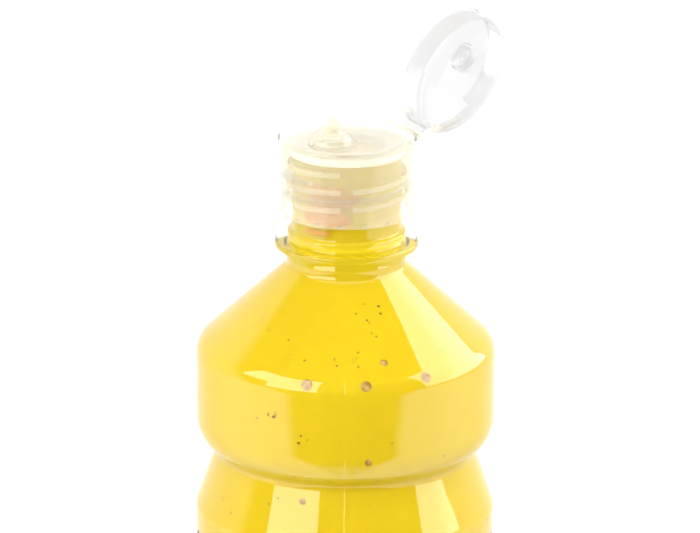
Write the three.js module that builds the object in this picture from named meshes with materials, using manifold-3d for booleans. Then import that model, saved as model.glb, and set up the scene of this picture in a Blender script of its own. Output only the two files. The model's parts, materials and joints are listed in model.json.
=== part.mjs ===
// A 600 ml squeeze bottle of ready-mixed paint with a screw-on flip-top cap, standing on its base, lid open.
// Millimetres, +Z up, origin at the middle of the base. The bottle's axis is Z.
import * as THREE from "three";
import { mergeVertices } from "three/addons/utils/BufferGeometryUtils.js";
import Module from "manifold-3d";

const wasm = await Module();
wasm.setup();

// ---- driving dimensions -------------------------------------------------------------------------------
const bodyRadius = 34.55; // the widest part of the bottle
const shoulderHeight = 165.1; // where the shoulder's cone meets the upper band
const grooveHeight = 139.6; // the finger groove between the two bands
const grooveRadius = 30;
const labelRecess = 0.35; // the label panel lies this much inside bodyRadius
const labelTop = 119.5;
const labelBottom = 18;
const labelThickness = 0.12;
const wall = 0.45; // blown wall of the body
const ringHeight = 189; // middle of the neck's support ring
const ringRadius = 16.5;
const ringHalfThickness = 0.75;
const neckTop = 210.2;
const neckRadius = 12.55; // neck wall, outside, under the thread
const neckBore = 10.87;
const paintTop = 204; // the bottle is filled to just under its mouth

const threadPitch = 4.2;
const threadStart = 200; // azimuth of the neck thread's lower end, degrees
const threadStartHeight = 199.6;
const threadSweep = 795; // degrees, a little over two turns
const threadCrest = 13.85;
const threadGapHalf = 5; // degrees left plain each side of the mould's parting lines
const partingLines = [90, 270];

const capBottom = 196.4;
const capTop = 214.2; // rim of the cap, and the plane that the shut lid rests on
const capRadiusBottom = 15.5;
const capRadiusTop = 15.97;
const capBore = 14.7;
const deckTop = 213.5;
const deckUnderside = 212.4;
const capThreadCrest = 13.05;
const capThreadSweep = 540;
const capThreadStart = 60;
const stubCount = 16; // broken bridges of the tear-off band, round the cap's lower edge

const hingeAzimuth = 28; // the hinge's side of the cap, degrees from +X toward +Y
const hingeRadius = 16.2;
const lidOpen = 123.5; // degrees from shut
const lidRadius = 14.9;
const lidDepth = 5.5;
const lidWall = 0.85;
const lidTopThickness = 0.7;
const reliefDepth = 2.5; // the lid's skirt is cut back this far each side of the hinge
const reliefFrom = 20;
const reliefTo = 70;
const hingeHalfWidth = 5;

const spoutOffset = 3.9; // the spout stands away from the hinge
const spoutTop = 218.7;
const spoutRadius = 2.3;
const spoutBore = 1.4;
const domeRadius = 5.75;
const domeTop = 216.1;

const linerTop = 212.1;
const linerBottom = 210.4;
const gap = 0.3; // clearance between pieces that do not touch face to face

const roundSteps = 36; // facets round the bottle and the cap
const smallSteps = 20; // facets round the spout and the plug

const paintYellow = 0xf7cf0a;
const petClear = 0xf4f2e6;
const capMilky = 0xefe9cf;

const deg = THREE.MathUtils.degToRad;

// ---- outlines -----------------------------------------------------------------------------------------
// An outline is a list of [radius, height]. A corner may carry a fillet radius, and the number of chords in it.
function rounded(corners) {
  const out = [];
  corners.forEach(([r, z, fillet = 0, chords = 3], i) => {
    if (!fillet) {
      out.push([r, z]);
      return;
    }
    const corner = new THREE.Vector2(r, z);
    const before = new THREE.Vector2(...corners[i - 1].slice(0, 2)).sub(corner).normalize();
    const after = new THREE.Vector2(...corners[i + 1].slice(0, 2)).sub(corner).normalize();
    const half = Math.acos(before.dot(after)) / 2;
    const middle = before.clone().add(after).normalize();
    const centre = corner.clone().addScaledVector(middle, fillet / Math.sin(half));
    const first = corner.clone().addScaledVector(before, fillet / Math.tan(half)).sub(centre);
    const last = corner.clone().addScaledVector(after, fillet / Math.tan(half)).sub(centre);
    const turn = Math.atan2(first.cross(last), first.dot(last));
    for (let k = 0; k <= chords; k++) {
      const p = first.clone().rotateAround(new THREE.Vector2(), (turn * k) / chords).add(centre);
      out.push([p.x, p.y]);
    }
  });
  return out;
}

// The same open outline moved inward by a distance, square to its run. It ends on the axis.
function inset(outline, distance) {
  return outline.map(([r, z], i) => {
    const a = outline[Math.max(i - 1, 0)];
    const b = outline[Math.min(i + 1, outline.length - 1)];
    const run = new THREE.Vector2(b[0] - a[0], b[1] - a[1]).normalize();
    return [r === 0 ? 0 : r + run.y * distance, z - run.x * distance];
  });
}

// ---- solids -------------------------------------------------------------------------------------------
function turned(outline, steps = roundSteps) {
  const points = outline.map(([r, z]) => new THREE.Vector2(r, z));
  return new THREE.LatheGeometry(points, steps).rotateX(Math.PI / 2);
}

// A closed solid through a list of rings, each a list of points in the same order, with flat ends.
function loft(rings) {
  const sides = rings[0].length;
  const index = [];
  for (let k = 0; k < rings.length - 1; k++) {
    for (let i = 0; i < sides; i++) {
      const a = k * sides + i;
      const b = k * sides + ((i + 1) % sides);
      index.push(a, b, a + sides, b, b + sides, a + sides);
    }
  }
  const end = (rings.length - 1) * sides;
  for (let i = 1; i < sides - 1; i++) {
    index.push(0, i + 1, i);
    index.push(end, end + i, end + i + 1);
  }
  const geometry = new THREE.BufferGeometry();
  geometry.setAttribute("position", new THREE.Float32BufferAttribute(rings.flat(2), 3));
  geometry.setIndex(index);
  return geometry;
}

function solidOf(geometry) {
  const bare = geometry.clone();
  bare.deleteAttribute("normal");
  bare.deleteAttribute("uv");
  const merged = mergeVertices(bare, 1e-4);
  const make = (triVerts) =>
    new wasm.Manifold(new wasm.Mesh({ numProp: 3, vertProperties: merged.attributes.position.array, triVerts }));
  const faces = new Uint32Array(merged.index.array);
  const made = make(faces);
  if (made.volume() > 0) return made;
  for (let i = 0; i < faces.length; i += 3) [faces[i + 1], faces[i + 2]] = [faces[i + 2], faces[i + 1]];
  return make(faces);
}

function geometryOf(solid) {
  const mesh = solid.getMesh();
  const geometry = new THREE.BufferGeometry();
  geometry.setAttribute("position", new THREE.Float32BufferAttribute(mesh.vertProperties, 3));
  geometry.setIndex(new THREE.BufferAttribute(mesh.triVerts, 1));
  geometry.computeVertexNormals();
  return geometry;
}

function piece(name, solid, color, roughness = 0.3) {
  const material = new THREE.MeshStandardMaterial({ color, roughness, metalness: 0 });
  const mesh = new THREE.Mesh(geometryOf(solid), material);
  mesh.name = name;
  return mesh;
}

// A thread ridge that climbs the pitch in each turn, from one azimuth to another, faded out at both ends.
function threadRidge(from, to, heightAt, rootRadius, crestRadius, rootHalf, crestHalf) {
  const stepAngle = 360 / roundSteps;
  const count = Math.max(2, Math.round((to - from) / stepAngle));
  const rings = [];
  for (let k = 0; k <= count; k++) {
    const azimuth = from + ((to - from) * k) / count;
    const fade = k === 0 || k === count ? 0.35 : 1;
    const crest = rootRadius + (crestRadius - rootRadius) * fade;
    const z = heightAt(azimuth);
    const c = Math.cos(deg(azimuth));
    const s = Math.sin(deg(azimuth));
    const section = [
      [rootRadius, -rootHalf],
      [crest, -crestHalf],
      [crest, crestHalf],
      [rootRadius, rootHalf],
    ];
    rings.push(section.map(([r, dz]) => [r * c, r * s, z + dz]));
  }
  return solidOf(loft(rings));
}

// ---- bottle -------------------------------------------------------------------------------------------
const panelRadius = bodyRadius - labelRecess;

// Outside of the bottle from under the support ring down to the middle of the base.
function bodyOutline(chords) {
  return rounded([
    [13.7, ringHeight - 2],
    [13.7, ringHeight - 4.9, 1.5, 2],
    [bodyRadius, shoulderHeight, 6, chords],
    [bodyRadius, grooveHeight + 4, 9.6, chords + 1],
    [grooveRadius, grooveHeight, 1.5, 2],
    [bodyRadius, grooveHeight - 13.4, 4, 2],
    [bodyRadius, labelTop + 1, 0.5, 1],
    [panelRadius, labelTop + 0.4],
    [panelRadius, labelBottom - 0.4],
    [bodyRadius, labelBottom - 1],
    [bodyRadius, 0, 6, chords],
    [26, 0],
    [22, 3.5, 6, 2],
    [0, 9],
  ]);
}

function neckOutline() {
  const ringTop = ringHeight + ringHalfThickness;
  const ringUnder = ringHeight - ringHalfThickness;
  return [
    [neckBore, neckTop],
    [neckRadius - 0.3, neckTop],
    [neckRadius, neckTop - 0.5],
    [neckRadius, 192.6],
    [13.6, 192],
    [13.6, 190.6],
    [13, ringTop],
    [ringRadius - 0.2, ringTop - 0.05],
    [ringRadius, ringHeight],
    [ringRadius - 0.2, ringUnder + 0.05],
    [13.7, ringUnder],
  ];
}

const neckThreadHeight = (azimuth) => threadStartHeight + (threadPitch * (azimuth - threadStart)) / 360;

// The neck thread stops for a few degrees at each parting line of the mould.
function neckThread() {
  const end = threadStart + threadSweep;
  const cuts = [];
  for (let turn = 0; turn * 360 < end; turn++) {
    for (const line of partingLines) cuts.push(line + 360 * turn);
  }
  const ridges = [];
  let from = threadStart;
  for (const cut of [...cuts.filter((c) => c > threadStart && c < end), end + threadGapHalf]) {
    const to = cut - threadGapHalf;
    ridges.push(threadRidge(from, to, neckThreadHeight, neckRadius - 0.5, threadCrest, 1, 0.55));
    from = cut + threadGapHalf;
  }
  return ridges;
}

function bottleShell() {
  const outside = bodyOutline(3);
  const inside = inset(outside, wall).filter(([, z]) => z < ringHeight - 4.6);
  const outline = [
    ...neckOutline(),
    ...outside,
    ...inside.reverse(),
    [neckBore, ringHeight - 1],
    [neckBore, neckTop],
  ];
  let shell = solidOf(turned(outline));
  for (const ridge of neckThread()) shell = shell.add(ridge);
  return piece("bottle_shell", shell, petClear, 0.12);
}

function paintFill() {
  const skin = inset(bodyOutline(2), wall + 0.4).filter(([, z]) => z < ringHeight - 5.2);
  const outline = [[0, paintTop], [neckBore - 0.25, paintTop], [neckBore - 0.25, ringHeight - 1.4], ...skin];
  return piece("paint_fill", solidOf(turned(outline)), paintYellow, 0.4);
}

function wrapLabel() {
  const inner = panelRadius + 0.05;
  const outer = inner + labelThickness;
  const outline = [
    [inner, labelBottom],
    [outer, labelBottom],
    [outer, labelTop],
    [inner, labelTop],
    [inner, labelBottom],
  ];
  return piece("wrap_label", solidOf(turned(outline)), 0xf4efe2, 0.35);
}

function sealingLiner() {
  const outline = [
    [9, linerBottom],
    [13.4, linerBottom],
    [13.4, linerTop],
    [9, linerTop],
    [9, linerBottom],
  ];
  return piece("sealing_liner", solidOf(turned(outline)), 0xf6f5f0, 0.7);
}

// ---- cap: built with its hinge toward +X, then turned to hingeAzimuth ----------------------------------
function capSkirtAndDeck() {
  const outline = [
    [0, deckTop],
    [13.2, deckTop],
    [13.6, capTop - 0.1],
    [14, capTop],
    [capRadiusTop - 0.25, capTop],
    [capRadiusTop, capTop - 0.3],
    [capRadiusBottom, capBottom + 0.2],
    [capRadiusBottom - 0.2, capBottom],
    [capBore, capBottom],
    [capBore, deckUnderside - 0.6],
    [capBore - 0.6, deckUnderside],
    [0, deckUnderside],
  ];
  return solidOf(turned(outline));
}

// The cap's ridge runs midway between two turns of the neck's, so the cap turns in mesh with it.
function capThread() {
  const from = capThreadStart - hingeAzimuth;
  const heightAt = (azimuth) => neckThreadHeight(azimuth + hingeAzimuth) + threadPitch / 2;
  return threadRidge(from, from + capThreadSweep, heightAt, capBore + 0.3, capThreadCrest, 0.75, 0.4);
}

function bridgeStubs() {
  const stubs = [];
  for (let i = 0; i < stubCount; i++) {
    const stub = new THREE.BoxGeometry(0.8, 1, 0.7);
    stub.translate(capBore - 0.1, 0, capBottom + 0.35);
    stubs.push(solidOf(stub.rotateZ(deg((360 * (i + 0.5)) / stubCount))));
  }
  return stubs;
}

function spoutOutside() {
  const outline = [
    [0, deckTop - 0.4],
    [domeRadius, deckTop - 0.4],
    [domeRadius, deckTop + 0.3],
    [domeRadius - 0.6, deckTop + 1.2],
    [domeRadius - 1.7, domeTop - 0.7],
    [spoutRadius + 0.4, domeTop - 0.1],
    [spoutRadius, domeTop + 0.3],
    [spoutRadius, spoutTop - 0.2],
    [spoutRadius - 0.2, spoutTop],
    [0, spoutTop],
  ];
  return solidOf(turned(outline, smallSteps).translate(-spoutOffset, 0, 0));
}

function spoutPassage() {
  const outline = [
    [0, spoutTop + 1],
    [spoutBore, spoutTop + 1],
    [spoutBore, domeTop - 0.6],
    [domeRadius - 2.6, domeTop - 1.4],
    [domeRadius - 1.1, deckTop],
    [domeRadius - 1.1, deckUnderside - 1],
    [0, deckUnderside - 1],
  ];
  return solidOf(turned(outline, smallSteps).translate(-spoutOffset, 0, 0));
}

function capBase() {
  const tab = new THREE.BoxGeometry(1, 2 * hingeHalfWidth, 0.7);
  tab.translate(hingeRadius - 0.75, 0, capTop - 0.75);
  let cap = capSkirtAndDeck().add(capThread()).add(solidOf(tab));
  for (const stub of bridgeStubs()) cap = cap.add(stub);
  return piece("cap_base", cap.add(spoutOutside()).subtract(spoutPassage()), capMilky);
}

// ---- lid: built shut, about the hinge line, then turned open --------------------------------------------
const lidX = -hingeRadius; // the lid's axis, measured from the hinge line
const lidInside = lidDepth - lidTopThickness;

function lidShell() {
  const outline = rounded([
    [0, lidDepth],
    [lidRadius, lidDepth, 0.9, 2],
    [lidRadius, 0],
    [lidRadius - lidWall, 0],
    [lidRadius - lidWall, lidInside, 0.5, 1],
    [0, lidInside],
  ]);
  return solidOf(turned(outline)).translate([lidX, 0, 0]);
}

// A ring that closes over the spout, and a pin that plugs its bore.
function lidPlug() {
  const ring = rounded([
    [2.65, lidInside + 0.2],
    [2.65, 2.5],
    [3.35, 2.5],
    [3.35, lidInside + 0.2],
    [2.65, lidInside + 0.2],
  ]);
  const pin = [
    [0, lidInside + 0.2],
    [spoutBore - gap, lidInside + 0.2],
    [spoutBore - gap, 3.3],
    [0, 2.9],
  ];
  const place = [lidX - spoutOffset, 0, 0];
  return solidOf(turned(ring, smallSteps)).add(solidOf(turned(pin, smallSteps))).translate(place);
}

// A wedge-shaped cutter beside the hinge: from one azimuth about the lid's axis to another.
function reliefCutter(side) {
  const rings = [-0.5, reliefDepth].map((z) => {
    const ring = [];
    for (const [r, flip] of [[lidRadius - 2.5, 1], [lidRadius + 1, -1]]) {
      for (let k = 0; k <= 5; k++) {
        const share = flip > 0 ? k / 5 : 1 - k / 5;
        const azimuth = deg(side * (reliefFrom + (reliefTo - reliefFrom) * share));
        ring.push([lidX + r * Math.cos(azimuth), r * Math.sin(azimuth), z]);
      }
    }
    return ring;
  });
  return solidOf(loft(rings));
}

function flipLid() {
  const tab = new THREE.BoxGeometry(1.6, 2 * hingeHalfWidth, 0.7);
  tab.translate(-1, 0, gap + 0.35);
  let lid = lidShell().add(lidPlug());
  for (const side of [-1, 1]) lid = lid.subtract(reliefCutter(side));
  return piece("flip_lid", lid.add(solidOf(tab)), capMilky);
}

// ---- thin bending pieces between cap and lid, in the open position, about the hinge line ------------------
const openTurn = (x, y, z) => {
  const a = deg(lidOpen);
  return [x * Math.cos(a) + z * Math.sin(a), y, z * Math.cos(a) - x * Math.sin(a)];
};

// The living hinge bends from the cap's tab round to the lid's tab.
function hingeWeb() {
  const thickness = 0.3;
  const start = [0.06, -0.9];
  const end = openTurn(0.1, 0, 0.95);
  const middle = [0.62, -0.75];
  const curve = new THREE.QuadraticBezierCurve(
    new THREE.Vector2(...start),
    new THREE.Vector2(...middle),
    new THREE.Vector2(end[0], end[2]),
  );
  const rings = [];
  for (let k = 0; k <= 4; k++) {
    const p = curve.getPoint(k / 4);
    const out = curve.getTangent(k / 4).rotateAround(new THREE.Vector2(), -Math.PI / 2);
    const q = p.clone().addScaledVector(out, thickness);
    const w = hingeHalfWidth - 0.2;
    rings.push([[p.x, -w, p.y], [p.x, w, p.y], [q.x, w, q.y], [q.x, -w, q.y]]);
  }
  return piece("hinge_web", solidOf(loft(rings)), capMilky);
}

// A butterfly strap: a thin flap that holds the lid open, from the cap's rim to the cut edge of the lid's skirt.
function springStrap(name, side) {
  const thickness = 0.4;
  const capEnd = (azimuth, z) => {
    const r = capRadiusTop + gap;
    return [r * Math.cos(deg(azimuth)) - hingeRadius, r * Math.sin(deg(azimuth)), z];
  };
  const lidEnd = (azimuth, z) => {
    const r = lidRadius - 0.6;
    return openTurn(r * Math.cos(deg(azimuth)) - hingeRadius, r * Math.sin(deg(azimuth)), z);
  };
  const a = capEnd(24 * side, -0.6);
  const b = capEnd(36 * side, -0.6);
  const c = lidEnd(24 * side, reliefDepth - gap);
  const d = lidEnd(36 * side, reliefDepth - gap);
  const lift = ([x, y, z]) => [x, y, z + thickness];
  return piece(name, solidOf(loft([[a, b, lift(b), lift(a)], [c, d, lift(d), lift(c)]])), capMilky);
}

// ---- assembly -----------------------------------------------------------------------------------------
const bottle = new THREE.Group();
bottle.add(bottleShell(), paintFill(), wrapLabel(), sealingLiner());

const lid = new THREE.Group();
lid.rotation.y = deg(lidOpen);
lid.add(flipLid());

const hinge = new THREE.Group();
hinge.position.set(hingeRadius, 0, capTop);
hinge.add(lid, hingeWeb(), springStrap("spring_strap_left", 1), springStrap("spring_strap_right", -1));

const cap = new THREE.Group();
cap.rotation.z = deg(hingeAzimuth);
cap.add(capBase(), hinge);

const paintBottle = new THREE.Group();
paintBottle.add(bottle, cap);
export default paintBottle;
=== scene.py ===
"""A clear bottle of yellow ready-mixed paint, its milky flip-top cap open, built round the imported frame."""

import json
import math
import random

import bmesh
import bpy
from mathutils import Matrix, Vector


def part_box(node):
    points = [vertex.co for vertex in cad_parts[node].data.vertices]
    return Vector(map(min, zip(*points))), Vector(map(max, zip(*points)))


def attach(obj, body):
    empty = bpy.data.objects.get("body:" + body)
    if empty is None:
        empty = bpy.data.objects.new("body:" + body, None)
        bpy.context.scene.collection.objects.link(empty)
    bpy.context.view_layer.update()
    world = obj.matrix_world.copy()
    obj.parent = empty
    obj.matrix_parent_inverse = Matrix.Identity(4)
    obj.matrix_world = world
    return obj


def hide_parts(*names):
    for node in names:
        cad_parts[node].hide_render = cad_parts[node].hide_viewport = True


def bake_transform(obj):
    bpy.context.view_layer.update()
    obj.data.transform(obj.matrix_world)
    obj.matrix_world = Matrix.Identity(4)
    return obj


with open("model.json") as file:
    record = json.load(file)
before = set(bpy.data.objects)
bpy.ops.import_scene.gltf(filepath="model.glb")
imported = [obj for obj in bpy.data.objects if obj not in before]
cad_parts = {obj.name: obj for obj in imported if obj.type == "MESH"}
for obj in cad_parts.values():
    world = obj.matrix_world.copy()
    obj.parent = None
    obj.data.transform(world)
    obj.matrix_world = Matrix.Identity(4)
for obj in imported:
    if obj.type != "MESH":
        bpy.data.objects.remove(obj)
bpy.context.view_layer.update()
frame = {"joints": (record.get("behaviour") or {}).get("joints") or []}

MM = 0.001  # outlines are written in millimetres, angles in degrees

# ---- sizes taken from the frame -------------------------------------------------------------------------
shell_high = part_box("bottle_shell")[1]
cap_low, cap_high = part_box("cap_base")
paint_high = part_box("paint_fill")[1]
label_low, label_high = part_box("wrap_label")
liner_low, liner_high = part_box("sealing_liner")
lid_joint = next(j for j in frame["joints"] if j["name"] == "lid_flip")
hinge_point = Vector(lid_joint["pos_m"])

BODY_RADIUS = shell_high.x / MM
NECK_TOP = shell_high.z / MM
PAINT_TOP = paint_high.z / MM
LABEL_TOP = label_high.z / MM
LABEL_BOTTOM = label_low.z / MM
LABEL_RADIUS = label_high.x / MM
LINER_TOP = liner_high.z / MM
LINER_BOTTOM = liner_low.z / MM
LINER_RADIUS = liner_high.x / MM
CAP_BOTTOM = cap_low.z / MM
SPOUT_TOP = cap_high.z / MM
CAP_TOP = hinge_point.z / MM
HINGE_RADIUS = hinge_point.xy.length / MM
HINGE_ANGLE = math.atan2(hinge_point.y, hinge_point.x)
LID_OPEN = math.radians(-lid_joint["range_deg"][0])

# ---- sizes the frame does not hold ----------------------------------------------------------------------
FRONT = -90.0  # the angle that faces the camera
WALL = 0.45
WET = 0.03  # how far the paint reaches into the wall
RING_HEIGHT = 189.0  # the middle of the support ring
RING_RADIUS = 16.5
BEAD_RADIUS = 13.6  # a low band above the ring
COLLAR_RADIUS = 13.7  # the neck just under the ring
INSIDE_TOP = RING_HEIGHT - 4.6  # up to here the inside follows the outside
SHOULDER_HEIGHT = 165.1
GROOVE_HEIGHT = 139.6
GROOVE_RADIUS = 30.0
PANEL_RADIUS = LABEL_RADIUS - 0.17
PARTING_LINES = (90.0, 270.0)
PARTING_HEIGHT = 0.07
PARTING_HALF = 0.35  # half the angle that a parting line takes
NECK_RADIUS = 12.55
NECK_BORE = 10.87
THREAD_TOP = 209.5  # the thread lies between these two heights
THREAD_BOTTOM = 193.5
THREAD_PITCH = 4.2
THREAD_START = 200.0
THREAD_START_HEIGHT = 199.6
THREAD_SWEEP = 795.0
THREAD_DEPTH = 1.3
THREAD_STEP = 0.16  # the thread's crests get a painted highlight where they stand out more than this
CREST_HIGHLIGHT_HEIGHT = 0.9  # the thread is scuffed where it stands out more than this
CAP_BORE = 14.7
CAP_RADIUS_TOP = 15.97
CAP_RADIUS_BOTTOM = 15.5
CAP_THREAD_TOP = 211.0
CAP_THREAD_DEPTH = 1.65
CAP_THREAD_START = 60.0
CAP_THREAD_SWEEP = 540.0
CAP_LIP = 0.8  # height of the plain lip under the cap's thread
DECK_TOP = 213.5
DECK_UNDERSIDE = 212.4
DECK_RADIUS = 12.4
STUBS = 16  # broken bridges of the tear-off band
SPOUT_OFFSET = 3.9
SPOUT_RADIUS = 2.3
SPOUT_BORE = 1.4
DOME_RADIUS = 5.75
DOME_TOP = 216.1
PASSAGE_RADIUS = DOME_RADIUS - 1.1  # the hollow under the dome
LID_RADIUS = 14.87
LID_DEPTH = 5.5
LID_INSIDE = 4.8
LID_WALL = 0.85
PLUG_OUTER = 3.35
PLUG_INNER = 2.65
RELIEF_DEPTH = 2.5  # the lid's rim is cut back on both sides of the hinge, where the straps run
RELIEF_FROM = 20.0
RELIEF_TO = 70.0
STRAP_ANGLE = 30.0
TAB_HALF = 5.0  # half the width of the hinge

LENS_DISTANCE = 1.5  # metres
VIEW_WIDTH = 0.16092  # metres across the picture, at the bottle
LIGHT_HEIGHT = 0.16  # metres, where a light's elevation is counted from

# The cap is built with its hinge toward +X and turned to the frame's hinge. The lid is built shut about
# its hinge line and then turned open.
CAP_PLACE = Matrix.Rotation(HINGE_ANGLE, 4, "Z")
HINGE_PLACE = CAP_PLACE @ Matrix.Translation((HINGE_RADIUS * MM, 0, CAP_TOP * MM))
SPOUT_PLACE = CAP_PLACE @ Matrix.Translation((-SPOUT_OFFSET * MM, 0, 0))
OPEN_TURN = Matrix.Rotation(LID_OPEN, 4, "Y")
LID_PLACE = HINGE_PLACE @ OPEN_TURN


# ---- outlines: rows of (radius, height), or of (radius, height, shift along +X) -------------------------
def rounded(corners):
    """An outline through corners (radius, height, fillet, chords), with each fillet as an arc."""
    out = []
    for i, (r, z, *more) in enumerate(corners):
        if not more:
            out.append((r, z))
            continue
        fillet, chords = more
        corner = Vector((r, z))
        before = (Vector(corners[i - 1][:2]) - corner).normalized()
        after = (Vector(corners[i + 1][:2]) - corner).normalized()
        half = before.angle(after) / 2
        centre = corner + (before + after).normalized() * (fillet / math.sin(half))
        first = corner + before * (fillet / math.tan(half)) - centre
        last = corner + after * (fillet / math.tan(half)) - centre
        turn = math.atan2(first.x * last.y - first.y * last.x, first.dot(last))
        for k in range(chords + 1):
            p = Matrix.Rotation(turn * k / chords, 2) @ first + centre
            out.append((p.x, p.y))
    return out


def inset(outline, distance):
    """The outline moved inward, square to its run. A point on the axis stays on it."""
    out = []
    for i, (r, z) in enumerate(outline):
        a = Vector(outline[max(i - 1, 0)])
        b = Vector(outline[min(i + 1, len(outline) - 1)])
        run = (b - a).normalized()
        out.append((0.0 if r == 0 else r + run.y * distance, z - run.x * distance))
    return out


def rows(radius, top, bottom):
    """Rows one under the other at one radius, close enough together to shape a thread."""
    count = round((top - bottom) / THREAD_STEP)
    return [(radius, top + (bottom - top) * k / count) for k in range(count + 1)]


def sliding(start, end, z, start_shift, end_shift):
    """Rows at one height from one radius to another, whose middle slides along +X on the way."""
    out = []
    for k in range(7):
        share = k / 6
        out.append((start + (end - start) * share, z, start_shift + (end_shift - start_shift) * share))
    return out


def shifted(outline, shift):
    """The outline with its middle moved along +X."""
    return [(r, z, shift) for r, z in outline]


# ---- meshes ---------------------------------------------------------------------------------------------
def ring_angles(count, fine=()):
    """Angles round a circle, with five close together at each of fine."""
    angles = {round(360.0 * k / count, 4) for k in range(count)}
    for centre in fine:
        angles = {a for a in angles if abs(a - centre) > 0.9}
        angles |= {centre + 0.2 * k for k in range(-2, 3)}
    return sorted(angles)


def make_object(name, verts, faces, place=Matrix.Identity(4)):
    """A smooth mesh whose edges over 38 degrees stay sharp, moved to its place."""
    mesh = bpy.data.meshes.new(name)
    mesh.from_pydata(verts, [], faces)
    bm = bmesh.new()
    bm.from_mesh(mesh)
    bmesh.ops.recalc_face_normals(bm, faces=bm.faces)
    for face in bm.faces:
        face.smooth = True
    for edge in bm.edges:
        if len(edge.link_faces) == 2 and edge.calc_face_angle() > math.radians(38.0):
            edge.smooth = False
    bm.to_mesh(mesh)
    bm.free()
    mesh.transform(place)
    obj = bpy.data.objects.new(name, mesh)
    bpy.context.scene.collection.objects.link(obj)
    return obj


def turned(outline, angles, closed=False, relief=None):
    """Vertices and faces of a turned body. relief(radius, height, angle) may move a vertex to another radius
    and height. A closed outline joins its last row to its first."""
    verts, faces, rings = [], [], []
    for r, z, *shift in outline:
        x = shift[0] if shift else 0.0
        if r == 0:
            rings.append([len(verts)])
            verts.append((x * MM, 0.0, z * MM))
            continue
        rings.append(list(range(len(verts), len(verts) + len(angles))))
        for angle in angles:
            rr, zz = relief(r, z, angle) if relief else (r, z)
            a = math.radians(angle)
            verts.append(((x + rr * math.cos(a)) * MM, rr * math.sin(a) * MM, zz * MM))
    pairs = list(zip(rings, rings[1:]))
    if closed:
        pairs.append((rings[-1], rings[0]))
    count = len(angles)
    for a, b in pairs:
        for i in range(count):
            j = (i + 1) % count
            if len(a) == 1:
                faces.append((a[0], b[j], b[i]))
            elif len(b) == 1:
                faces.append((a[i], a[j], b[0]))
            else:
                faces.append((a[i], a[j], b[j], b[i]))
    return verts, faces


def joined(parts):
    """One list of vertices and faces from several."""
    verts, faces = [], []
    for v, f in parts:
        base = len(verts)
        verts += v
        faces += [tuple(i + base for i in face) for face in f]
    return verts, faces


def loft(rings):
    """A closed solid through rings of points, with flat ends."""
    sides = len(rings[0])
    verts = [p for ring in rings for p in ring]
    faces = []
    for k in range(len(rings) - 1):
        for i in range(sides):
            j = (i + 1) % sides
            a = k * sides
            faces.append((a + i, a + j, a + sides + j, a + sides + i))
    end = (len(rings) - 1) * sides
    faces.append(tuple(range(sides - 1, -1, -1)))
    faces.append(tuple(range(end, end + sides)))
    return verts, faces


def bar(place, x, y, z):
    """A box with rounded long edges, its length along Y."""
    soft = 0.22
    section = rounded([
        (0, z / 2),
        (x / 2, z / 2, soft, 4),
        (x / 2, -z / 2, soft, 4),
        (-x / 2, -z / 2, soft, 4),
        (-x / 2, z / 2, soft, 4),
        (-0.01, z / 2),
    ])
    rings = []
    for share, shrink in ((-0.5, 0.6), (-0.49, 0.85), (-0.475, 1), (0.475, 1), (0.49, 0.85), (0.5, 0.6)):
        ring = [(a * shrink * MM, y * share * MM, b * shrink * MM) for a, b in section]
        rings.append([tuple(place @ Vector(p)) for p in ring])
    return loft(rings)


def on_circle(radius, turn, z):
    """A place in metres on a circle round the axis, from millimetres and an angle in radians."""
    return (radius * math.cos(turn) * MM, radius * math.sin(turn) * MM, z * MM)


def smooth01(x):
    """From 0 to 1 with an eased start and end."""
    x = min(1.0, max(0.0, x))
    return x * x * (3 - 2 * x)


# ---- materials ------------------------------------------------------------------------------------------
class Nodes:
    """Short helpers that add nodes to a tree. A value is a plain one or another node's socket."""

    def __init__(self, tree):
        self.tree = tree

    def put(self, socket, value):
        if isinstance(value, bpy.types.NodeSocket):
            self.tree.links.new(value, socket)
        else:
            socket.default_value = value

    def node(self, kind, **inputs):
        """A new node. The names of its inputs are written with _ for a space."""
        made = self.tree.nodes.new(kind)
        for socket, value in inputs.items():
            self.put(made.inputs[socket.replace("_", " ")], value)
        return made

    def maths(self, operation, *values):
        made = self.tree.nodes.new("ShaderNodeMath")
        made.operation = operation
        for socket, value in zip(made.inputs, values):
            self.put(socket, value)
        return made.outputs[0]

    def between(self, fac, low, high, from_low=0.0, from_high=1.0, easing="LINEAR"):
        """low to high, as fac goes from from_low to from_high."""
        made = self.node(
            "ShaderNodeMapRange", Value=fac, From_Min=from_low, From_Max=from_high, To_Min=low, To_Max=high
        )
        made.interpolation_type = easing
        return made.outputs["Result"]


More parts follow.
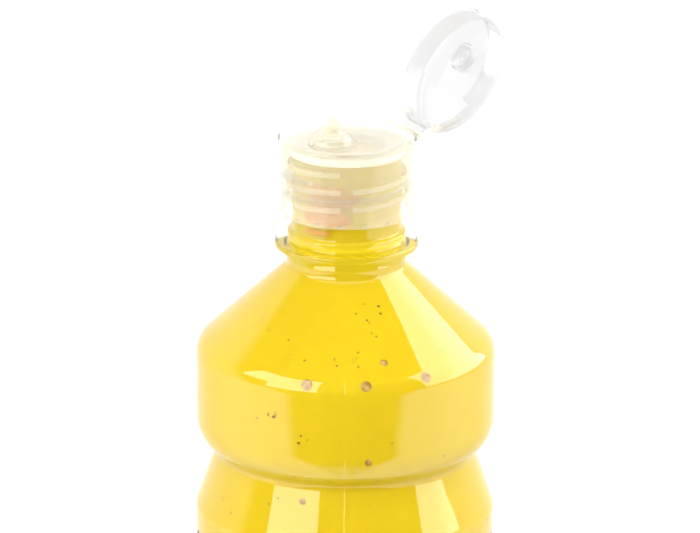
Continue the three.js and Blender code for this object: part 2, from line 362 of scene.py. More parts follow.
class Shader(Nodes):
    """A Principled material with patterns that stay with the object."""

    def __init__(self, name, **values):
        self.material = bpy.data.materials.new(name)
        self.material.use_nodes = True
        super().__init__(self.material.node_tree)
        self.bsdf = self.tree.nodes["Principled BSDF"]
        self.coords = self.node("ShaderNodeTexCoord").outputs["Object"]
        for socket, value in values.items():
            self.drive(socket.replace("_", " "), value)

    def drive(self, socket, value):
        """Set or link an input of the Principled shader."""
        self.put(self.bsdf.inputs[socket], value)

    def noise(self, scale, detail=3.0, roughness=0.5, distortion=0.0):
        made = self.node(
            "ShaderNodeTexNoise", Vector=self.coords, Scale=scale, Detail=detail,
            Roughness=roughness, Distortion=distortion,
        )
        return made.outputs["Fac"]

    def cells(self, scale, randomness=1.0):
        made = self.node("ShaderNodeTexVoronoi", Vector=self.coords, Scale=scale, Randomness=randomness)
        return made.outputs["Distance"]

    def mix(self, fac, a, b):
        """A colour between two. Each is a socket, or red, green and blue."""
        made = self.tree.nodes.new("ShaderNodeMix")
        made.data_type = "RGBA"
        self.put(made.inputs["Factor"], fac)
        for socket, colour in (("A", a), ("B", b)):
            linked = isinstance(colour, bpy.types.NodeSocket)
            self.put(made.inputs[socket], colour if linked else (*colour, 1))
        return made.outputs["Result"]

    def colour(self, fac, a, b):
        self.drive("Base Color", self.mix(fac, a, b))

    def roughness(self, fac, low, high, from_low=0.0, from_high=1.0):
        self.drive("Roughness", self.between(fac, low, high, from_low, from_high))

    def bump(self, height, strength, distance):
        made = self.node("ShaderNodeBump", Height=height, Strength=strength, Distance=distance)
        self.drive("Normal", made.outputs["Normal"])


def pet_material():
    """Blown PET: clear, glossy, very slightly wavy."""
    s = Shader("clear_pet", Transmission_Weight=1.0, IOR=1.575)
    s.colour(s.noise(60.0), (0.985, 0.985, 0.975), (1.0, 1.0, 0.995))
    s.roughness(s.noise(140.0, 4.0), 0.015, 0.05, 0.35, 0.7)
    s.bump(s.noise(45.0, 2.0), 0.12, 0.0006)
    return s.material


def crest_highlight_pet_material():
    """Whitish, rougher, less clear PET on the crests of the thread: a painted highlight standing in for the
    light the crests catch.
    """
    s = Shader("pet_painted_crest_highlight", Transmission_Weight=0.78, IOR=1.575)
    s.colour(s.noise(300.0, 4.0), (0.93, 0.92, 0.86), (0.98, 0.975, 0.94))
    s.roughness(s.noise(600.0, 4.0), 0.12, 0.25, 0.35, 0.7)
    s.bump(s.noise(45.0, 2.0), 0.12, 0.0006)
    return s.material


def paint_material():
    """Thick yellow paint that wets the wall: nearly even, with faint streaks where it was stirred."""
    s = Shader("yellow_paint", IOR=1.45, Specular_IOR_Level=0.1)
    streaks = s.noise(26.0, 5.0, 0.6, 1.4)
    grain = s.noise(420.0, 3.0)
    base = s.mix(s.between(streaks, 0.0, 1.0, 0.35, 0.7), (0.87, 0.66, 0.008), (0.89, 0.69, 0.012))
    s.colour(s.between(grain, 0.0, 0.25, 0.45, 0.8), base, (0.84, 0.63, 0.007))
    s.roughness(streaks, 0.35, 0.55)
    s.bump(s.noise(240.0, 4.0), 0.06, 0.0004)
    return s.material


def milky_material(name, clear, low, high):
    """Natural polypropylene: milky all through, so that it bends light little, with streaks of flow."""
    s = Shader(
        name, IOR=1.03, Transmission_Weight=clear, Coat_Weight=0.8, Coat_IOR=1.49, Coat_Roughness=0.12
    )
    s.colour(s.noise(70.0, 4.0, 0.6, 2.0), low, high)
    s.roughness(s.noise(120.0, 3.0), 0.1, 0.2, 0.3, 0.75)
    s.bump(s.noise(90.0, 2.0), 0.05, 0.0003)
    return s.material


def residue_material():
    """A thin smear of paint on the milky plastic: pale, nearly cream."""
    s = Shader("paint_residue", IOR=1.45)
    s.colour(s.noise(900.0, 4.0), (0.70, 0.58, 0.30), (0.72, 0.62, 0.36))
    s.roughness(s.noise(600.0, 3.0), 0.35, 0.6)
    s.bump(s.noise(800.0, 3.0), 0.15, 0.0003)
    return s.material


def dried_paint_material():
    """Old paint between cap and neck, darkened to orange-brown."""
    s = Shader("dried_paint", IOR=1.45)
    blotch = s.noise(300.0, 5.0, 0.6)
    s.colour(s.between(blotch, 0.0, 1.0, 0.35, 0.7), (0.90, 0.44, 0.02), (0.95, 0.52, 0.03))
    s.roughness(blotch, 0.4, 0.7)
    s.bump(blotch, 0.3, 0.0003)
    return s.material


def speck_material(name, dark, light):
    """Something small in the paint, blotched from dark to light."""
    s = Shader(name, IOR=1.4)
    blotch = s.noise(900.0, 3.0)
    s.colour(s.between(blotch, 0.0, 1.0, 0.35, 0.65), dark, light)
    s.roughness(blotch, 0.25, 0.5)
    return s.material


def liner_material():
    """Off-white foam with fine closed cells."""
    s = Shader("closed_cell_foam", IOR=1.4)
    cells = s.cells(1800.0)
    s.colour(cells, (0.74, 0.72, 0.65), (0.80, 0.78, 0.71))
    s.roughness(cells, 0.65, 0.85)
    s.bump(cells, 0.4, 0.0002)
    return s.material


def label_material():
    """Printed film: warm white with brown border lines, a yellow swash and scattered round daubs, and no
    lettering. Its heights run from -1 at the lower edge to 1 at the upper one."""
    s = Shader("printed_label", IOR=1.48)
    x, y, z = s.node("ShaderNodeSeparateXYZ", Vector=s.coords).outputs
    middle = (LABEL_TOP + LABEL_BOTTOM) / 2 * MM
    half = (LABEL_TOP - LABEL_BOTTOM) / 2 * MM
    height = s.maths("DIVIDE", s.maths("SUBTRACT", z, middle), half)
    away = s.maths("ABSOLUTE", height)
    three_waves = s.maths("SINE", s.maths("MULTIPLY", s.maths("ARCTAN2", y, x), 3.0))
    level = s.maths("ADD", height, s.maths("MULTIPLY", three_waves, 0.16))
    ragged = s.maths("MULTIPLY", s.maths("SUBTRACT", s.noise(90.0, 5.0), 0.5), 0.10)
    swash = s.maths("LESS_THAN", s.maths("ABSOLUTE", s.maths("ADD", level, ragged)), 0.34)
    edge = s.maths("GREATER_THAN", away, 0.972)
    line = s.maths("COMPARE", away, 0.93, 0.008)
    daubs = s.maths("LESS_THAN", s.cells(62.0, 0.8), 0.30)
    clear_of_swash = s.maths("GREATER_THAN", s.maths("ABSOLUTE", level), 0.50)
    clear_of_line = s.maths("LESS_THAN", away, 0.84)
    daubs = s.maths("MULTIPLY", daubs, s.maths("MULTIPLY", clear_of_swash, clear_of_line))
    paper = s.mix(s.noise(500.0, 3.0), (0.55, 0.54, 0.50), (0.58, 0.57, 0.53))
    with_swash = s.mix(swash, paper, (0.60, 0.36, 0.012))
    with_daubs = s.mix(daubs, with_swash, (0.58, 0.19, 0.015))
    s.colour(s.maths("MAXIMUM", edge, line), with_daubs, (0.10, 0.045, 0.025))
    s.roughness(s.noise(700.0, 3.0), 0.28, 0.42)
    s.bump(s.noise(900.0, 2.0), 0.05, 0.0002)
    return s.material


def floor_material():
    """A pale, plain, nearly matt floor."""
    s = Shader("studio_floor")
    s.colour(s.noise(6.0), (0.74, 0.74, 0.74), (0.77, 0.77, 0.77))
    s.roughness(s.noise(20.0), 0.8, 0.95)
    return s.material


PET = pet_material()
CREST_HIGHLIGHT_PET = crest_highlight_pet_material()
PAINT = paint_material()
# The cream in the cap's colours is painted light: it stands in for yellow light from the paint scattering in
# the cap. The lid, away from the paint, is neutral.
MILKY = milky_material("milky_polypropylene", 0.9, (0.92, 0.895, 0.79), (0.94, 0.92, 0.82))
THICK_MILKY = milky_material(
    "thick_milky_polypropylene", 0.74, (0.86, 0.835, 0.745), (0.88, 0.86, 0.775)
)
LID_MILKY = milky_material("milky_polypropylene_lid", 0.9, (0.76, 0.76, 0.76), (0.79, 0.79, 0.79))
RESIDUE = residue_material()


def finish_piece(obj, material, body, slot, *nodes):
    obj.data.materials.append(material)
    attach(obj, body)
    if nodes:
        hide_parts(*nodes)


# ---- bottle ---------------------------------------------------------------------------------------------
def thread_height(angle):
    """Height of the neck's thread at an angle, counted on through its turns."""
    return THREAD_START_HEIGHT + THREAD_PITCH * (angle - THREAD_START) / 360.0


def ridge(angle, z, start, sweep, height_at, crest_half, root_half, fade, gaps=()):
    """Height, 0 to 1, of a helical ridge at an angle and height, faded out at its ends and at gaps."""
    gap_half = 3.8
    gap_fade = 1.8
    most_turns = 5
    best = 0.0
    for turn in range(most_turns):
        a = angle + 360.0 * turn
        if not start <= a <= start + sweep:
            continue
        off = abs(z - height_at(a))
        if off > root_half:
            continue
        rise = 1.0 - smooth01((off - crest_half) / (root_half - crest_half))
        ends = smooth01(min(a - start, start + sweep - a) / fade)
        near = min((abs(angle - g) for g in gaps), default=90.0)
        best = max(best, rise * ends * smooth01((near - gap_half) / gap_fade))
    return best


def neck_ridge(angle, z):
    """The neck's thread, broken at the parting lines."""
    return ridge(angle, z, THREAD_START, THREAD_SWEEP, thread_height, 0.5, 1.05, 14.0, PARTING_LINES)


def body_outline():
    """The outside of the bottle from under the support ring down to the middle of the base."""
    return rounded([
        (COLLAR_RADIUS, RING_HEIGHT - 0.9),
        (COLLAR_RADIUS, RING_HEIGHT - 4.9, 1.5, 6),
        (BODY_RADIUS, SHOULDER_HEIGHT, 6, 12),
        (BODY_RADIUS, GROOVE_HEIGHT + 4, 9.6, 12),
        (GROOVE_RADIUS, GROOVE_HEIGHT, 1.5, 6),
        (BODY_RADIUS, GROOVE_HEIGHT - 13.4, 4, 6),
        (BODY_RADIUS, LABEL_TOP + 1, 0.5, 3),
        (PANEL_RADIUS, LABEL_TOP + 0.4, 0.3, 3),
        (PANEL_RADIUS, LABEL_BOTTOM - 0.4, 0.3, 3),
        (BODY_RADIUS, LABEL_BOTTOM - 1, 0.5, 3),
        (BODY_RADIUS, 0, 6, 12),
        (26, 0, 0.8, 3),
        (22, 3.5, 5, 6),
        (0, 9),
    ])


def inside_outline(depth):
    """The body's outline up to the neck, moved inward."""
    return [p for p in inset(body_outline(), depth) if p[1] < INSIDE_TOP]


def neck_outline():
    """The outside of the neck from the mouth down to just under the support ring."""
    ring_top = RING_HEIGHT + 0.75
    ring_under = RING_HEIGHT - 0.75
    mouth = rounded([
        (NECK_BORE, NECK_TOP),
        (NECK_RADIUS, NECK_TOP, 0.45, 4),
        (NECK_RADIUS, THREAD_TOP + 0.1),
    ])
    thread = rows(NECK_RADIUS, THREAD_TOP - 0.1, THREAD_BOTTOM - 0.1)
    ring = rounded([
        (NECK_RADIUS, THREAD_BOTTOM - 0.3),
        (NECK_RADIUS, RING_HEIGHT + 3.5, 0.5, 3),
        (BEAD_RADIUS, RING_HEIGHT + 3.1, 0.35, 3),
        (BEAD_RADIUS, RING_HEIGHT + 1.6, 0.5, 3),
        (12.9, ring_top + 0.15, 0.3, 3),
        (RING_RADIUS, ring_top, 0.5, 5),
        (RING_RADIUS, ring_under, 0.5, 5),
        (13.2, ring_under - 0.1, 0.25, 3),
        (COLLAR_RADIUS + 0.15, RING_HEIGHT - 3.2, 0.5, 4),
        (COLLAR_RADIUS, RING_HEIGHT - 3.5),
    ])
    return mouth + thread + ring


def bottle_relief(r, z, angle):
    """Raises the neck's thread, and takes the body back a little beside each parting line."""
    if abs(r - NECK_RADIUS) < 0.01 and THREAD_BOTTOM < z < THREAD_TOP:
        return r + THREAD_DEPTH * neck_ridge(angle, z), z
    if r > BODY_RADIUS - 4.3 and LABEL_TOP < z < RING_HEIGHT - 6:
        near = min(abs(angle - line) for line in PARTING_LINES)
        return r - PARTING_HEIGHT * smooth01(near / PARTING_HALF), z
    return r, z


def bottle():
    """The blown wall, an outer and an inner skin joined round the mouth. Its thread's crests carry a painted
    highlight.
    """
    outside = neck_outline() + [p for p in body_outline() if p[1] < RING_HEIGHT - 3.3]
    inside = inside_outline(WALL)
    inside.reverse()
    bore = [(NECK_BORE, RING_HEIGHT - 1.5), (NECK_BORE, NECK_TOP - 0.4)]
    angles = ring_angles(180, PARTING_LINES)
    verts, faces = joined([turned(outside, angles, relief=bottle_relief), turned(inside + bore, angles)])
    count = len(angles)
    last = len(verts) - count
    for i in range(count):
        j = (i + 1) % count
        faces.append((last + i, last + j, j, i))
    obj = make_object("bottle_wall", verts, faces)
    obj.data.materials.append(PET)
    for face in obj.data.polygons:
        # faces on the thread's crests take whitish PET, a painted highlight of the light they catch
        middle = face.center / MM
        if THREAD_BOTTOM < middle.z < THREAD_TOP and middle.xy.length > NECK_RADIUS + CREST_HIGHLIGHT_HEIGHT:
            face.material_index = 1
    finish_piece(obj, CREST_HIGHLIGHT_PET, "bottle", "pet_clear", "bottle_shell")


def paint():
    """The paint reaches a hair into the wall, so that it wets it with no air between."""
    neck = NECK_BORE + WET
    surface = [
        (0, PAINT_TOP - 0.6),
        (6, PAINT_TOP - 0.55),
        (neck - 1.2, PAINT_TOP - 0.4),
        (neck - 0.4, PAINT_TOP - 0.15),
        (neck, PAINT_TOP),
        (neck, RING_HEIGHT - 1.5),
    ]
    obj = make_object("paint", *turned(surface + inside_outline(WALL - WET), ring_angles(144)))
    finish_piece(obj, PAINT, "bottle", "paint_yellow", "paint_fill")


def paint_on_bore():
    """A film of paint that clings to the bore above the paint's surface."""
    neck = NECK_BORE + WET
    film = [
        (neck, PAINT_TOP - 1.0),
        (neck - 0.25, PAINT_TOP - 1.0),
        (neck - 0.25, NECK_TOP - 0.9),
        (neck - 0.1, NECK_TOP - 0.5),
        (neck, NECK_TOP - 0.5),
    ]
    obj = make_object("paint_on_bore", *turned(film, ring_angles(96), closed=True))
    finish_piece(obj, PAINT, "bottle", "paint_yellow")


def wrap_label():
    """The film goes once round and laps over itself at the back."""
    lap = 5.0
    seam = 90.0
    thickness = 0.055
    gap = 0.008
    step_up = 0.05
    steps = 240
    rings = []
    for k in range(steps + 1):
        share = k / steps
        turn = math.radians(seam - lap / 2 + (360.0 + lap) * share)
        inner = PANEL_RADIUS + gap + step_up * smooth01((share - (360.0 - lap) / (360.0 + lap)) * 60)
        outer = inner + thickness * (0.9 if k in (0, steps) else 1.0)
        corners = ((inner, LABEL_BOTTOM), (outer, LABEL_BOTTOM), (outer, LABEL_TOP), (inner, LABEL_TOP))
        rings.append([on_circle(r, turn, z) for r, z in corners])
    obj = make_object("label", *loft(rings))
    finish_piece(obj, label_material(), "bottle", "label_paper", "wrap_label")


def wall_at(z):
    """Inner radius of the bottle's wall at a height, and its slope."""
    skin = inside_outline(WALL)
    for (r0, z0), (r1, z1) in zip(skin, skin[1:]):
        if min(z0, z1) <= z <= max(z0, z1) and z0 != z1:
            return r0 + (r1 - r0) * (z - z0) / (z1 - z0), math.atan2(r1 - r0, z0 - z1)
    return skin[0][0], 0.0


def blob(angle, z, size, flat, squeeze=1.0):
    """A small lens against the inside of the wall. Its angle is from the front toward the right."""
    radius, slope = wall_at(z)
    outline = [
        (0, flat),
        (0.55 * size, 0.85 * flat),
        (0.9 * size, 0.4 * flat),
        (size, 0.0),
        (0.8 * size, -0.4 * flat),
        (0, -0.5 * flat),
    ]
    verts, faces = turned(outline, ring_angles(12))
    place = (
        Matrix.Rotation(math.radians(FRONT + angle), 4, "Z")
        @ Matrix.Translation(((radius + 0.1) * MM, 0, z * MM))
        @ Matrix.Rotation(math.pi / 2 - slope, 4, "Y")
        @ Matrix.Diagonal((1, squeeze, 1, 1))
    )
    return [tuple(place @ Vector(v)) for v in verts], faces


def bubbles():
    """Air bubbles caught against the wall, each by its angle from the front, its height and its radius. Each
    is a brown lens whose colour is painted shade inside the bubble.
    """
    places = [
        (-15, 165, 1.35), (8, 165, 1.25), (33, 165.5, 1.3),
        (9, 147, 0.85), (-18, 136, 0.8), (17, 169, 0.9),
    ]
    # brown lenses paint the shade that fills each air bubble
    bubble_shade = speck_material("bubble_painted_shade", (0.42, 0.22, 0.02), (0.80, 0.52, 0.14))
    obj = make_object("paint_bubbles", *joined([blob(angle, z, size, 0.16) for angle, z, size in places]))
    finish_piece(obj, bubble_shade, "bottle", "paint_yellow")


def grains():
    """Dark grains strewn over patches. A patch is its middle's angle and height, half sizes and count."""
    chance = random.Random(11)
    patches = [
        (14, 176.5, 9, 3.5, 10), (0, 169.3, 6, 0.8, 9), (-23, 169.5, 5, 0.6, 3), (-29, 160, 2, 5.5, 7),
        (-16, 152.5, 2, 2.5, 3), (-30, 135.5, 5, 1.5, 3), (0, 152, 180, 28, 70),
    ]
    made = []
    for middle, height, wide, tall, count in patches:
        for _ in range(count):
            angle = middle + chance.uniform(-1, 1) * wide
            size = 0.1 + 0.22 * chance.random() ** 2
            z = height + chance.uniform(-1, 1) * tall
            made.append(blob(angle, z, size, 0.12, chance.uniform(0.7, 1.4)))
    dark = speck_material("paint_grains", (0.22, 0.10, 0.01), (0.50, 0.27, 0.02))
    finish_piece(make_object("paint_grains", *joined(made)), dark, "bottle", "paint_yellow")


def splotch(angle, z, wide, tall, seed):
    """A ragged film round the neck, by its middle's angle from the front and height, and its half sizes."""
    chance = random.Random(seed)
    waves = [(rate, chance.uniform(0, math.tau), 0.16 / rate) for rate in (2, 3, 5, 7, 11)]
    under = NECK_RADIUS - 0.12
    thickness = 0.06
    sides, rings = 72, 10
    front, back = [], []
    for ring in range(rings + 1):
        share = ring / rings
        radius = under + thickness * (1 - smooth01(share * 3 - 2))
        for k in range(sides):
            t = math.tau * k / sides
            ragged = 1 + sum(depth * math.sin(rate * t + phase) for rate, phase, depth in waves)
            reach = share * ragged * (math.cos(t) ** 4 + math.sin(t) ** 4) ** -0.25
            turn = math.radians(FRONT + angle + wide * reach * math.cos(t))
            height = z + tall * reach * math.sin(t)
            front.append(on_circle(radius, turn, height))
            back.append(on_circle(under - 0.01, turn, height))
    faces = []
    base = len(front)
    for ring in range(rings):
        for k in range(sides):
            a = ring * sides + k
            b = ring * sides + (k + 1) % sides
            faces.append((a, b, b + sides, a + sides))
            faces.append((base + a, base + a + sides, base + b + sides, base + b))
    last = rings * sides
    for k in range(sides):
        a, b = last + k, last + (k + 1) % sides
        faces.append((a, b, base + b, base + a))
    return front + back, faces


def dried_paint():
    """Paint dried between the thread's ridges, seen through the cap, and a streak just under the cap."""
    films = [
        splotch(-24, 204.7, 21, 0.8, 1),
        splotch(-15, 202.2, 28, 1.7, 2),
        splotch(-22, 198.2, 24, 2.1, 3),
        splotch(-33, 194.2, 15, 0.5, 4),
    ]
    obj = make_object("dried_paint", *joined(films))
    finish_piece(obj, dried_paint_material(), "bottle", "paint_yellow")


def liner():
    """A foam ring that seals the mouth."""
    inner = 9.0
    middle = (LINER_BOTTOM + LINER_TOP) / 2
    outline = rounded([
        (inner, middle),
        (inner, LINER_BOTTOM, 0.3, 3),
        (LINER_RADIUS, LINER_BOTTOM, 0.4, 4),
        (LINER_RADIUS, LINER_TOP, 0.4, 4),
        (inner, LINER_TOP, 0.3, 3),
        (inner, middle + 0.01),
    ])
    obj = make_object("foam_liner", *turned(outline, ring_angles(96), closed=True))
    finish_piece(obj, liner_material(), "liner", "liner_foam", "sealing_liner")


# ---- cap ------------------------------------------------------------------------------------------------
def cap_ridge(angle, z):
    """The cap's own thread, half a pitch above the neck's."""
    turn = math.degrees(HINGE_ANGLE)

    def height_at(a):
        return thread_height(a + turn) + THREAD_PITCH / 2

    return ridge(angle, z, CAP_THREAD_START - turn, CAP_THREAD_SWEEP, height_at, 0.35, 0.8, 16.0)


def cap_outline():
    """Up the outside, over the deck to the spout, down its bore, back under the deck and down the skirt."""
    skirt = rounded([
        (CAP_BORE + 0.3, CAP_BOTTOM),
        (CAP_RADIUS_BOTTOM, CAP_BOTTOM, 0.25, 4),
        (CAP_RADIUS_TOP, CAP_TOP - 0.05, 0.45, 6),
        (13.9, CAP_TOP, 0.3, 4),
        (13.3, DECK_TOP, 0.5, 4),
        (DECK_RADIUS, DECK_TOP),
    ])
    deck = sliding(DECK_RADIUS, DOME_RADIUS + 0.9, DECK_TOP, 0.0, -SPOUT_OFFSET)[1:]
    dome = rounded([
        (DOME_RADIUS + 0.6, DECK_TOP),
        (DOME_RADIUS, DECK_TOP, 0.35, 4),
        (DOME_RADIUS - 0.25, DECK_TOP + 0.9, 1.0, 4),
        (SPOUT_RADIUS + 1.6, DOME_TOP - 0.2, 1.6, 6),
        (SPOUT_RADIUS, DOME_TOP - 0.1, 0.4, 4),
        (SPOUT_RADIUS, SPOUT_TOP, 0.35, 5),
        (SPOUT_BORE, SPOUT_TOP, 0.2, 4),
        (SPOUT_BORE, DOME_TOP - 0.6, 0.4, 3),
        (PASSAGE_RADIUS - 1.5, DOME_TOP - 1.4, 0.8, 4),
        (PASSAGE_RADIUS, DECK_TOP, 0.8, 4),
        (PASSAGE_RADIUS, DECK_UNDERSIDE, 0.3, 3),
        (DOME_RADIUS - 0.4, DECK_UNDERSIDE),
    ])
    under = sliding(DOME_RADIUS, DECK_RADIUS + 0.2, DECK_UNDERSIDE, -SPOUT_OFFSET, 0.0)
    bore = rounded([
        (13.2, DECK_UNDERSIDE),
        (CAP_BORE, DECK_UNDERSIDE, 0.7, 5),
        (CAP_BORE, CAP_THREAD_TOP),
    ])
    thread = rows(CAP_BORE, CAP_THREAD_TOP - 0.2, CAP_BOTTOM + CAP_LIP + 0.1)
    lip = rounded([
        (CAP_BORE, CAP_BOTTOM + CAP_LIP - 0.1),
        (CAP_BORE, CAP_BOTTOM, 0.2, 3),
        (CAP_BORE + 0.25, CAP_BOTTOM),
    ])
    return skirt + deck + shifted(dome, -SPOUT_OFFSET) + under + bore + thread + lip


def cap_relief(r, z, angle):
    """Raises the thread in the bore, and the stubs of the broken bridges on the lip's lower edge."""
    lip_top = CAP_BOTTOM + CAP_LIP
    if abs(r - CAP_BORE) < 0.01 and lip_top < z < CAP_THREAD_TOP:
        return r - CAP_THREAD_DEPTH * cap_ridge(angle, z), z
    if z < lip_top and r < CAP_BORE + 0.5:
        beat = abs((angle * STUBS / 360.0) % 1.0 - 0.5) * 360.0 / STUBS
        stub = 1 - smooth01((beat - 0.8) / 1.2)
        return r - 0.5 * stub, z - 0.3 * stub * smooth01((lip_top - z) / CAP_LIP)
    return r, z


def cap():
    """Skirt, deck, dome and spout, and a tab for the hinge. Thread and deck are thicker, so milkier."""
    tab = Matrix.Translation(((HINGE_RADIUS - 0.75) * MM, 0, (CAP_TOP - 0.75) * MM))
    shell = turned(cap_outline(), ring_angles(240), closed=True, relief=cap_relief)
    obj = make_object("cap", *joined([shell, bar(tab, 0.95, 2 * TAB_HALF, 0.65)]), place=CAP_PLACE)
    obj.data.materials.append(MILKY)
    for face in obj.data.polygons:
        middle = face.center / MM
        thread = middle.xy.length < CAP_BORE - 0.12 and middle.z < DECK_UNDERSIDE - 1.5
        deck = middle.xy.length < CAP_BORE - 0.5 and middle.z > DECK_UNDERSIDE - 0.1
        if thread or deck:
            face.material_index = 1
    finish_piece(obj, THICK_MILKY, "cap", "cap_milky", "cap_base")


def paint_in_spout():
    """Paint left low in the spout."""
    outline = rounded([
        (0, DOME_TOP + 0.3),
        (SPOUT_BORE - 0.03, DOME_TOP + 0.5, 0.3, 3),
        (SPOUT_BORE - 0.03, DOME_TOP - 0.8, 0.3, 3),
        (SPOUT_BORE + 0.6, DOME_TOP - 1.4, 0.3, 3),
        (0, DOME_TOP - 1.5),
    ])
    obj = make_object("paint_in_spout", *turned(outline, ring_angles(48)), place=SPOUT_PLACE)
    finish_piece(obj, RESIDUE, "cap", "paint_yellow")


def paint_under_dome():
    """A bead of paint round the front of the passage under the dome, thin at its ends."""
    start = FRONT - math.degrees(HINGE_ANGLE) - 80
    sweep = 170
    sides = 12
    steps = 60
    rings = []
    for k in range(steps + 1):
        share = k / steps
        turn = math.radians(start + sweep * share)
        size = 0.1 + 0.4 * math.sin(math.pi * share) ** 0.6 * (0.85 + 0.15 * math.sin(19 * share))
        ring = []
        for j in range(sides):
            t = math.tau * j / sides
            r = PASSAGE_RADIUS - 0.65 + 0.6 * size * math.cos(t)
            ring.append(on_circle(r, turn, DECK_UNDERSIDE + 0.6 + size * math.sin(t)))
        rings.append(ring)
    obj = make_object("paint_under_dome", *loft(rings), place=SPOUT_PLACE)
    finish_piece(obj, RESIDUE, "cap", "paint_yellow")


# ---- lid and hinge --------------------------------------------------------------------------------------
def lid_outline():
    """Over the top, down the outside, up the inside, and down round the plug ring and the pin."""
    shell = rounded([
        (0, LID_DEPTH),
        (LID_RADIUS, LID_DEPTH, 0.9, 7),
        (LID_RADIUS, 0, 0.25, 4),
        (LID_RADIUS - LID_WALL, 0, 0.25, 4),
        (LID_RADIUS - LID_WALL, LID_INSIDE, 0.5, 4),
        (12, LID_INSIDE),
    ])
    plug = rounded([
        (4.0, LID_INSIDE),
        (PLUG_OUTER, LID_INSIDE, 0.25, 3),
        (PLUG_OUTER, 2.5, 0.2, 3),
        (PLUG_INNER, 2.5, 0.2, 3),
        (PLUG_INNER, LID_INSIDE, 0.25, 3),
        (SPOUT_BORE - 0.3, LID_INSIDE, 0.2, 3),
        (SPOUT_BORE - 0.3, 3.2, 0.3, 3),
        (0, 2.9),
    ])
    return shell + sliding(12, 4.2, LID_INSIDE, 0.0, -SPOUT_OFFSET)[1:] + shifted(plug, -SPOUT_OFFSET)


def lid_relief(r, z, angle):
    """Cuts the rim back on both sides of the hinge."""
    off = abs((angle + 180.0) % 360.0 - 180.0)
    cut = smooth01((off - RELIEF_FROM) / 1.5) * smooth01((RELIEF_TO - off) / 1.5)
    if r > LID_RADIUS - 2 and z < RELIEF_DEPTH:
        return r, z + (RELIEF_DEPTH - z) * cut * (1 - 0.15 * z / RELIEF_DEPTH)
    return r, z


def lid():
    """The lid with its plug ring and pin, and a tab for the hinge."""
    middle = Matrix.Translation((-HINGE_RADIUS * MM, 0, 0))
    tab = Matrix.Translation((-0.95 * MM, 0, 0.68 * MM))
    verts, faces = turned(lid_outline(), ring_angles(240), relief=lid_relief)
    verts = [tuple(middle @ Vector(v)) for v in verts]
    obj = make_object("lid", *joined([(verts, faces), bar(tab, 1.5, 2 * TAB_HALF, 0.65)]), place=LID_PLACE)
    finish_piece(obj, LID_MILKY, "lid", "cap_milky", "flip_lid")


def bent_strip(name, path, half_at, thickness, node):
    """A thin strip across the hinge, shaped for the lid as it stands open. Its path starts on the cap and is
    measured from the hinge line. half_at(share of the path) is half its width."""
    across = Vector((0, 1, 0))
    rings = []
    for k, p in enumerate(path):
        run = (path[min(k + 1, len(path) - 1)] - path[max(k - 1, 0)]).normalized()
        out = run.cross(across).normalized()
        half = half_at(k / (len(path) - 1))
        section = (
            (-half, 0), (0, -0.04), (half, 0),
            (half, thickness), (0, thickness + 0.04), (-half, thickness),
        )
        rings.append([tuple((p + across * y + out * lift) * MM) for y, lift in section])
    obj = make_object(name, *loft(rings), place=HINGE_PLACE)
    obj.data.materials.append(MILKY)
    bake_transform(obj)
    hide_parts(node)


def from_hinge(radius, turn, z):
    """A place on a circle round the cap's axis, measured from the middle of the hinge line."""
    return Vector((radius * math.cos(turn) - HINGE_RADIUS, radius * math.sin(turn), z))


def living_hinge():
    """The thin web between the two tabs, bowed outward."""
    start = Vector((-0.1, 0, -1.0))
    bow = Vector((0.75, 0, -0.8))
    end = OPEN_TURN @ Vector((-0.2, 0, 1.0))
    steps = 12
    path = []
    for k in range(steps + 1):
        t = k / steps
        path.append(start * (1 - t) ** 2 + bow * 2 * t * (1 - t) + end * t * t)
    bent_strip("living_hinge", path, lambda share: TAB_HALF - 0.3, -0.28, "hinge_web")


def spring_strap(name, side):
    """One of the two straps that snap the lid open, a little narrower and sagging at its middle."""
    turn = math.radians(STRAP_ANGLE * side)
    foot = from_hinge(CAP_RADIUS_TOP - 0.1, turn, -0.5)
    top = OPEN_TURN @ from_hinge(LID_RADIUS - 0.5, turn, RELIEF_DEPTH + 0.1)
    sag = Vector((0.25, 0, -0.35))
    steps = 16
    path = [foot.lerp(top, k / steps) + sag * math.sin(math.pi * k / steps) for k in range(steps + 1)]
    bent_strip(name, path, lambda share: 1.5 - 0.35 * math.sin(math.pi * share), 0.35, name)


# ---- stage ----------------------------------------------------------------------------------------------
def aim(obj, at):
    """Turn a light or a camera to face a place."""
    obj.rotation_euler = (Vector(at) - obj.location).to_track_quat("-Z", "Y").to_euler()


def camera():
    """A long lens that looks down a little at the top of the bottle, rolled a hair."""
    data = bpy.data.cameras.new("camera")
    data.sensor_width = 36.0
    data.lens = data.sensor_width * LENS_DISTANCE / VIEW_WIDTH
    obj = bpy.data.objects.new("camera", data)
    bpy.context.scene.collection.objects.link(obj)
    elevation = math.radians(17.5)
    roll = Matrix.Rotation(math.radians(0.4), 3, "Z")
    target = Vector((0.85 * MM, 0, (RING_HEIGHT - 6.07) * MM))
    obj.location = target + Vector((0, -math.cos(elevation), math.sin(elevation))) * LENS_DISTANCE
    aim(obj, target)
    obj.rotation_euler = (obj.rotation_euler.to_matrix() @ roll).to_euler()
    bpy.context.scene.camera = obj
    bpy.context.scene.view_settings.view_transform = "Standard"


def area_light(name, width, height, radiance):
    """A rectangular light of an even radiance, hidden from the camera."""
    data = bpy.data.lights.new(name, "AREA")
    data.shape = "RECTANGLE"
    data.size = width
    data.size_y = height
    data.energy = radiance * math.pi * width * height
    obj = bpy.data.objects.new(name, data)
    bpy.context.scene.collection.objects.link(obj)
    obj.visible_camera = False
    return obj


def softbox(name, azimuth, elevation, distance, width, height, radiance, at=LIGHT_HEIGHT):
    """A light that no reflection shows. Its azimuth is counted from the camera toward the right."""
    obj = area_light(name, width, height, radiance)
    a, e = math.radians(azimuth), math.radians(elevation)
    middle = Vector((0, 0, at))
    toward = Vector((math.sin(a) * math.cos(e), -math.cos(a) * math.cos(e), math.sin(e)))
    obj.location = middle + toward * distance
    aim(obj, middle)
    obj.visible_glossy = False


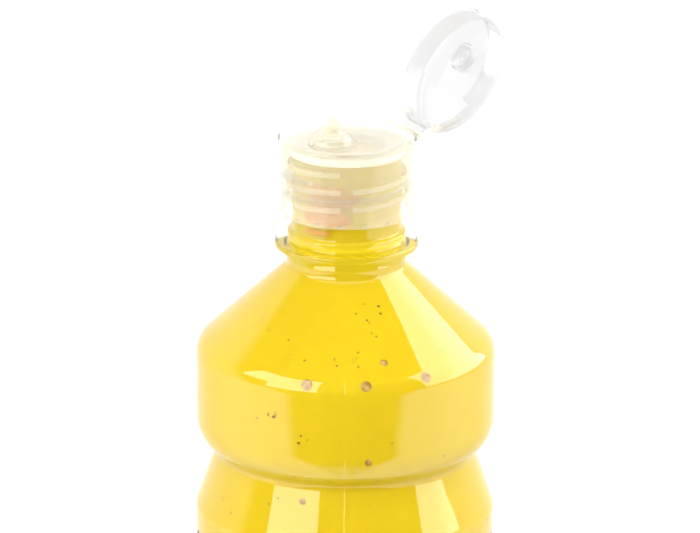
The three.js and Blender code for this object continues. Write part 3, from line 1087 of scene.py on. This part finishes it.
def upright_box(name, azimuth, half_angle, low, high, radiance):
    """An upright panel a metre away, from one elevation to another."""
    low, high = math.tan(math.radians(low)), math.tan(math.radians(high))
    obj = area_light(name, 2 * math.tan(math.radians(half_angle)), high - low, radiance)
    a = math.radians(azimuth)
    obj.location = (math.sin(a), -math.cos(a), LIGHT_HEIGHT + (low + high) / 2)
    aim(obj, (0, 0, obj.location.z))


def floor():
    """A wide pale floor a hair under the bottle, which no reflection shows."""
    bpy.ops.mesh.primitive_grid_add(x_subdivisions=24, y_subdivisions=24, size=9)
    obj = bpy.context.object
    obj.name = "floor"
    obj.location.z = -0.0002
    obj.data.materials.append(floor_material())
    obj.visible_glossy = False


def lights():
    """Three panels that show as reflections, two fills and a ceiling that do not."""
    upright_box("left_box", -41.5, 20.5, 3, 50, 4.3)
    upright_box("far_left_box", -75, 13, 20, 50, 4.3)
    upright_box("right_box", 98, 36, 2, 54, 4.1)
    softbox("left_fill", -60, 20, 1.2, 1.2, 0.7, 1.2)
    softbox("cap_fill", 15, 20, 0.2, 0.16, 0.06, 6.2, at=0.22)
    softbox("ceiling", 0, 89, 3.0, 14.0, 14.0, 0.56)


def studio():
    """A dim room with a white backdrop behind and a lit table under it, dark in front where the camera
    stands. The camera, and rays that come straight through clear plastic, see plain white instead."""
    world = bpy.data.worlds.new("studio")
    world.use_nodes = True
    n = Nodes(world.node_tree)

    def ramp(value, from_low, from_high, low, high):
        return n.between(value, low, high, from_low, from_high, "SMOOTHSTEP")

    coords = n.node("ShaderNodeTexCoord").outputs["Generated"]
    x, y, z = n.node("ShaderNodeSeparateXYZ", Vector=coords).outputs
    turn = n.maths("ABSOLUTE", n.maths("ARCTAN2", x, n.maths("MULTIPLY", y, -1.0)))
    dark = 0.12
    backdrop = ramp(n.maths("MULTIPLY_ADD", z, -0.8, y), -0.32, -0.05, 0.0, 1.1)
    tapered = n.maths("MULTIPLY_ADD", z, -0.9, turn)
    sides = n.maths("MULTIPLY", ramp(tapered, 0.92, 1.15, 0.0, 1.0), ramp(turn, 1.5, 2.3, 1.9, 1.0))
    under = ramp(z, -0.8, -0.5, 0.6, 0.0)
    table = n.maths("MULTIPLY", ramp(z, -0.12, 0.02, 1.0, 0.0), n.maths("MAXIMUM", sides, under))
    mirror = n.maths("ADD", n.maths("MAXIMUM", table, backdrop), dark)
    path = n.node("ShaderNodeLightPath").outputs
    straight = n.maths("LESS_THAN", path["Diffuse Depth"], 0.5)
    through = n.maths("MULTIPLY", path["Is Transmission Ray"], straight)
    seen = n.maths("MAXIMUM", path["Is Camera Ray"], through)
    strength = n.node("ShaderNodeMix", Factor=seen, A=mirror, B=1.0).outputs["Result"]
    back = n.tree.nodes["Background"]
    n.put(back.inputs["Strength"], strength)
    n.put(back.inputs["Color"], (1, 1, 1, 1))
    bpy.context.scene.world = world


camera()
floor()
studio()
lights()
bottle()
paint()
paint_on_bore()
wrap_label()
bubbles()
grains()
dried_paint()
liner()
cap()
paint_in_spout()
paint_under_dome()
lid()
living_hinge()
spring_strap("spring_strap_left", 1)
spring_strap("spring_strap_right", -1)
